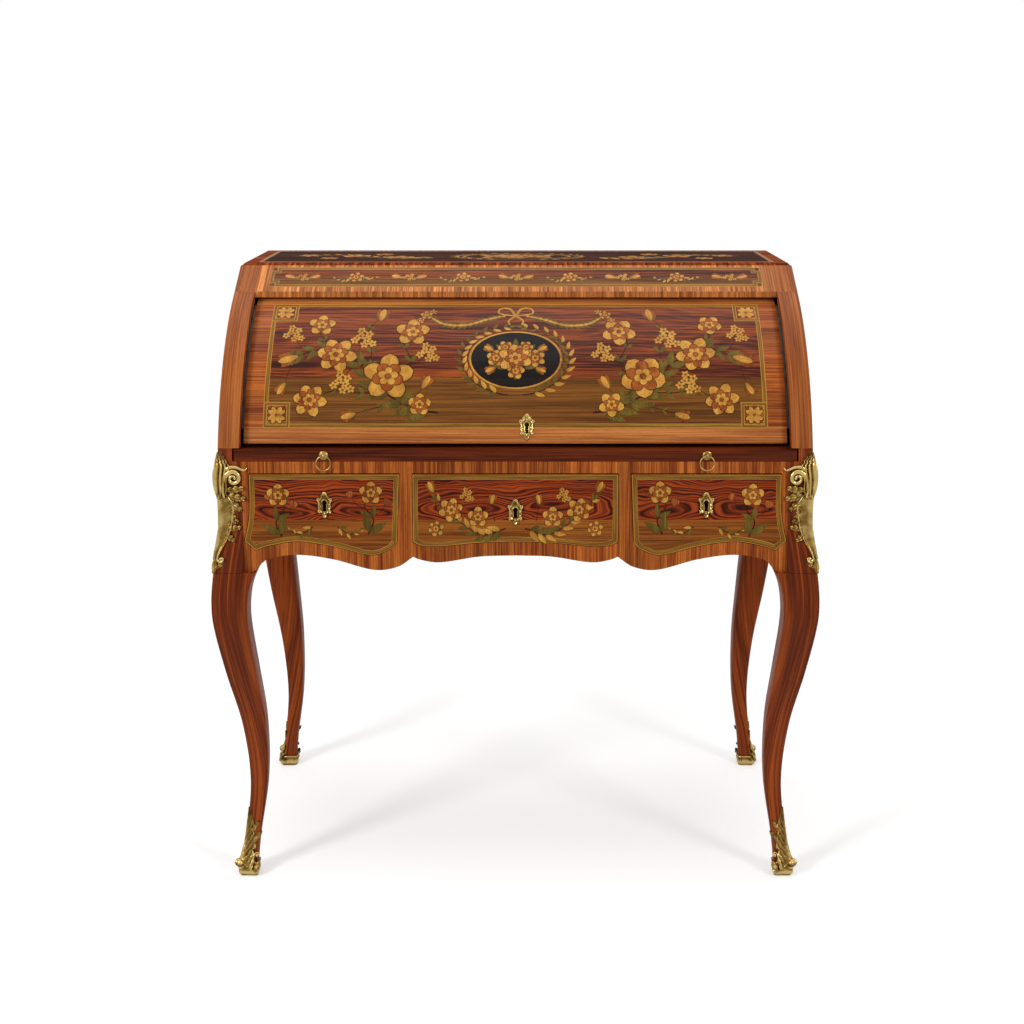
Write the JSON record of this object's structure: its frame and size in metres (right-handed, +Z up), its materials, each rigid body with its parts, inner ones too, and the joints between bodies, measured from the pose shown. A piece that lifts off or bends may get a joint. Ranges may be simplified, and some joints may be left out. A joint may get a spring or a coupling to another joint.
{
  "type": "cylinder desk",
  "caption": "Cylinder desk on cabriole legs with a marquetry cylinder that rolls back, a pull-out writing slide, frieze drawers with wavy edges and gilt mounts.",
  "frame": {"origin": "on the floor, in the middle of the desk's box", "axes": "+Z up, +Y towards the back, +X to the right seen from the front"},
  "size_m": [1.0122, 0.5522, 1.04],
  "materials": {
    "tulipwood": "tulipwood veneer, crossbanded, french polished",
    "kingwood": "figured kingwood veneer with inlay, french polished",
    "amaranth": "dark amaranth, french polished",
    "oak": "waxed oak",
    "gilt_bronze": "chased and gilt bronze",
    "iron": "dark wrought iron",
    "leather": "smooth leather with a tooled border"
  },
  "bodies": {
    "case": {"leg_front_left": "tulipwood", "leg_front_right": "tulipwood", "leg_rear_left": "tulipwood", "leg_rear_right": "tulipwood", "sabot_front_left": "gilt_bronze", "sabot_front_right": "gilt_bronze", "sabot_rear_left": "gilt_bronze", "sabot_rear_right": "gilt_bronze", "mount_front_left": "gilt_bronze", "mount_front_right": "gilt_bronze", "mount_rear_left": "gilt_bronze", "mount_rear_right": "gilt_bronze", "apron_front": "tulipwood", "apron_back": "tulipwood", "side_rail_left": "tulipwood", "side_rail_right": "tulipwood", "drawer_rail": "tulipwood", "drawer_dividers": "tulipwood", "dust_board": "oak", "slide_guides": "oak", "drawer_runners": "oak", "side_panel_left": "tulipwood", "side_panel_right": "tulipwood", "quadrant_stiles": "tulipwood", "back_panel": "tulipwood", "top_board": "kingwood", "frieze_rail": "tulipwood", "pivot_pins": "iron", "cabinet": "oak"},
    "cylinder": {"cylinder_shell": "kingwood", "cylinder_arms": "iron", "lock_cylinder": "iron", "escutcheon_cylinder": "gilt_bronze"},
    "cylinder_bolt": {"bolt_cylinder": "iron"},
    "slide": {"slide_board": "oak", "slide_lip": "amaranth", "slide_leather": "leather", "pull_posts": "gilt_bronze"},
    "ring_left": {"pull_ring_left": "gilt_bronze"},
    "ring_right": {"pull_ring_right": "gilt_bronze"},
    "drawer_left": {"drawer_left_front": "kingwood", "drawer_left_box": "oak", "lock_left": "iron", "escutcheon_left": "gilt_bronze"},
    "drawer_middle": {"drawer_middle_front": "kingwood", "drawer_middle_box": "oak", "lock_middle": "iron", "escutcheon_middle": "gilt_bronze"},
    "drawer_right": {"drawer_right_front": "kingwood", "drawer_right_box": "oak", "lock_right": "iron", "escutcheon_right": "gilt_bronze"},
    "left_bolt": {"bolt_left": "iron"},
    "middle_bolt": {"bolt_middle": "iron"},
    "right_bolt": {"bolt_right": "iron"},
    "small_left": {"small_drawer_left": "oak", "small_knob_left": "gilt_bronze"},
    "small_right": {"small_drawer_right": "oak", "small_knob_right": "gilt_bronze"}
  },
  "joints": [
    {"name": "cylinder_roll", "type": "hinge", "parent": "case", "child": "cylinder", "pos_m": [0, 0.10483, 0.663], "axis": [-1, 0, 0], "range_deg": [0, 48]},
    {"name": "cylinder_bolt_throw", "type": "slide", "parent": "cylinder", "child": "cylinder_bolt", "axis": [0, -0.3308, -0.9437], "range_m": [0, 0.01]},
    {"name": "slide_pull", "type": "slide", "parent": "case", "child": "slide", "axis": [0, -1, 0], "range_m": [0, 0.22]},
    {"name": "ring_left_swing", "type": "hinge", "parent": "slide", "child": "ring_left", "pos_m": [-0.316, -0.267, 0.746], "axis": [-1, 0, 0], "range_deg": [-8, 100]},
    {"name": "ring_right_swing", "type": "hinge", "parent": "slide", "child": "ring_right", "pos_m": [0.316, -0.267, 0.746], "axis": [-1, 0, 0], "range_deg": [-8, 100]},
    {"name": "drawer_left_pull", "type": "slide", "parent": "case", "child": "drawer_left", "axis": [0, -1, 0], "range_m": [0, 0.29]},
    {"name": "drawer_middle_pull", "type": "slide", "parent": "case", "child": "drawer_middle", "axis": [0, -1, 0], "range_m": [0, 0.29]},
    {"name": "drawer_right_pull", "type": "slide", "parent": "case", "child": "drawer_right", "axis": [0, -1, 0], "range_m": [0, 0.29]},
    {"name": "left_bolt_throw", "type": "slide", "parent": "drawer_left", "child": "left_bolt", "axis": [0, 0, 1], "range_m": [0, 0.007]},
    {"name": "middle_bolt_throw", "type": "slide", "parent": "drawer_middle", "child": "middle_bolt", "axis": [0, 0, 1], "range_m": [0, 0.007]},
    {"name": "right_bolt_throw", "type": "slide", "parent": "drawer_right", "child": "right_bolt", "axis": [0, 0, 1], "range_m": [0, 0.007]},
    {"name": "small_left_pull", "type": "slide", "parent": "case", "child": "small_left", "axis": [0, -1, 0], "range_m": [0, 0.14]},
    {"name": "small_right_pull", "type": "slide", "parent": "case", "child": "small_right", "axis": [0, -1, 0], "range_m": [0, 0.14]}
  ]
}
